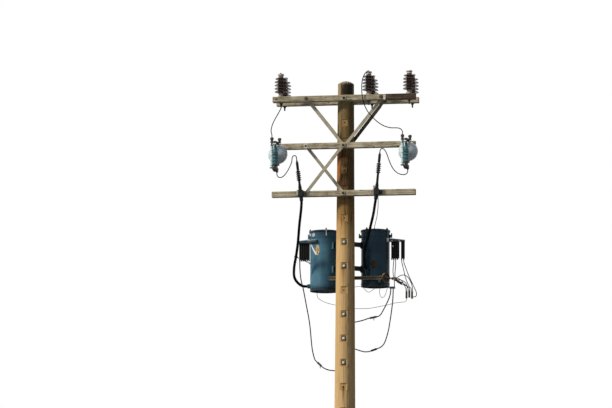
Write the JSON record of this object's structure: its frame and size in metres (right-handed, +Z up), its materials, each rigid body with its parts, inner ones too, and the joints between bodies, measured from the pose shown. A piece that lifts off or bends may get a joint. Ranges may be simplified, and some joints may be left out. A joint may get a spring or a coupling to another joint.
{
  "type": "pole mounted transformer",
  "caption": "Wooden distribution pole with cross arms, line insulators, fused cutouts, cable heads and a pair of side-hung transformers.",
  "frame": {"origin": "middle of the pole's flat foot, at ground level", "axes": "+Z up the pole, +X along the arms to the right as seen from the front, +Y towards the transformers"},
  "size_m": [1.914, 1.0179, 9.3045],
  "materials": {
    "arm_wood": "weathered sawn timber",
    "bronze_castings": "tarnished casting",
    "brown_porcelain": "brown glaze",
    "cable_jacket": "weathered cable jacket",
    "dark_polymer": "matt rubber",
    "dark_steel": "dark paint",
    "galvanised_steel": "dull galvanising",
    "pole_wood": "weathered treated pole",
    "tank_paint": "satin enamel",
    "teal_barrel": "teal glaze",
    "white_porcelain": "pale glaze"
  },
  "bodies": {
    "root": {"pole": "pole_wood", "through_bolts": "galvanised_steel", "front_top_arm": "arm_wood", "rear_top_arm": "arm_wood", "middle_arm": "arm_wood", "lower_arm": "arm_wood", "front_left_brace": "galvanised_steel", "front_right_brace": "galvanised_steel", "rear_left_brace": "galvanised_steel", "rear_right_brace": "galvanised_steel", "middle_arm_brace": "galvanised_steel", "lower_arm_brace": "galvanised_steel", "brace_bolts": "galvanised_steel", "insulator_pins": "galvanised_steel", "left_front_insulator": "brown_porcelain", "left_rear_insulator": "brown_porcelain", "middle_front_insulator": "brown_porcelain", "middle_rear_insulator": "brown_porcelain", "right_front_insulator": "brown_porcelain", "right_rear_insulator": "brown_porcelain", "left_cutout_dome": "white_porcelain", "right_cutout_dome": "white_porcelain", "left_cutout_frame": "bronze_castings", "right_cutout_frame": "bronze_castings", "left_cutout_knobs": "brown_porcelain", "right_cutout_knobs": "brown_porcelain", "cutout_bolts": "galvanised_steel", "left_tank": "tank_paint", "right_tank": "tank_paint", "left_lid": "tank_paint", "right_lid": "tank_paint", "transformer_brackets": "dark_steel", "cable_heads": "dark_polymer", "cable_clamps": "dark_steel", "high_voltage_cables": "cable_jacket", "jumper_leads": "cable_jacket", "terminal_hoods": "tank_paint", "low_voltage_bushings": "dark_polymer", "service_arm": "galvanised_steel", "spool_rack": "galvanised_steel", "spools": "brown_porcelain", "lead_connectors": "bronze_castings", "secondary_leads": "cable_jacket"},
    "left_fuse_body": {"left_fuse": "teal_barrel"},
    "right_fuse_body": {"right_fuse": "teal_barrel"}
  },
  "joints": [
    {"name": "left_fuse_hinge", "type": "hinge", "parent": "root", "child": "left_fuse_body", "pos_m": [-0.832, -0.42482, 8.028], "axis": [1, 0, 0], "range_deg": [0, 150]},
    {"name": "right_fuse_hinge", "type": "hinge", "parent": "root", "child": "right_fuse_body", "pos_m": [0.832, -0.42482, 8.028], "axis": [1, 0, 0], "range_deg": [0, 150]}
  ]
}
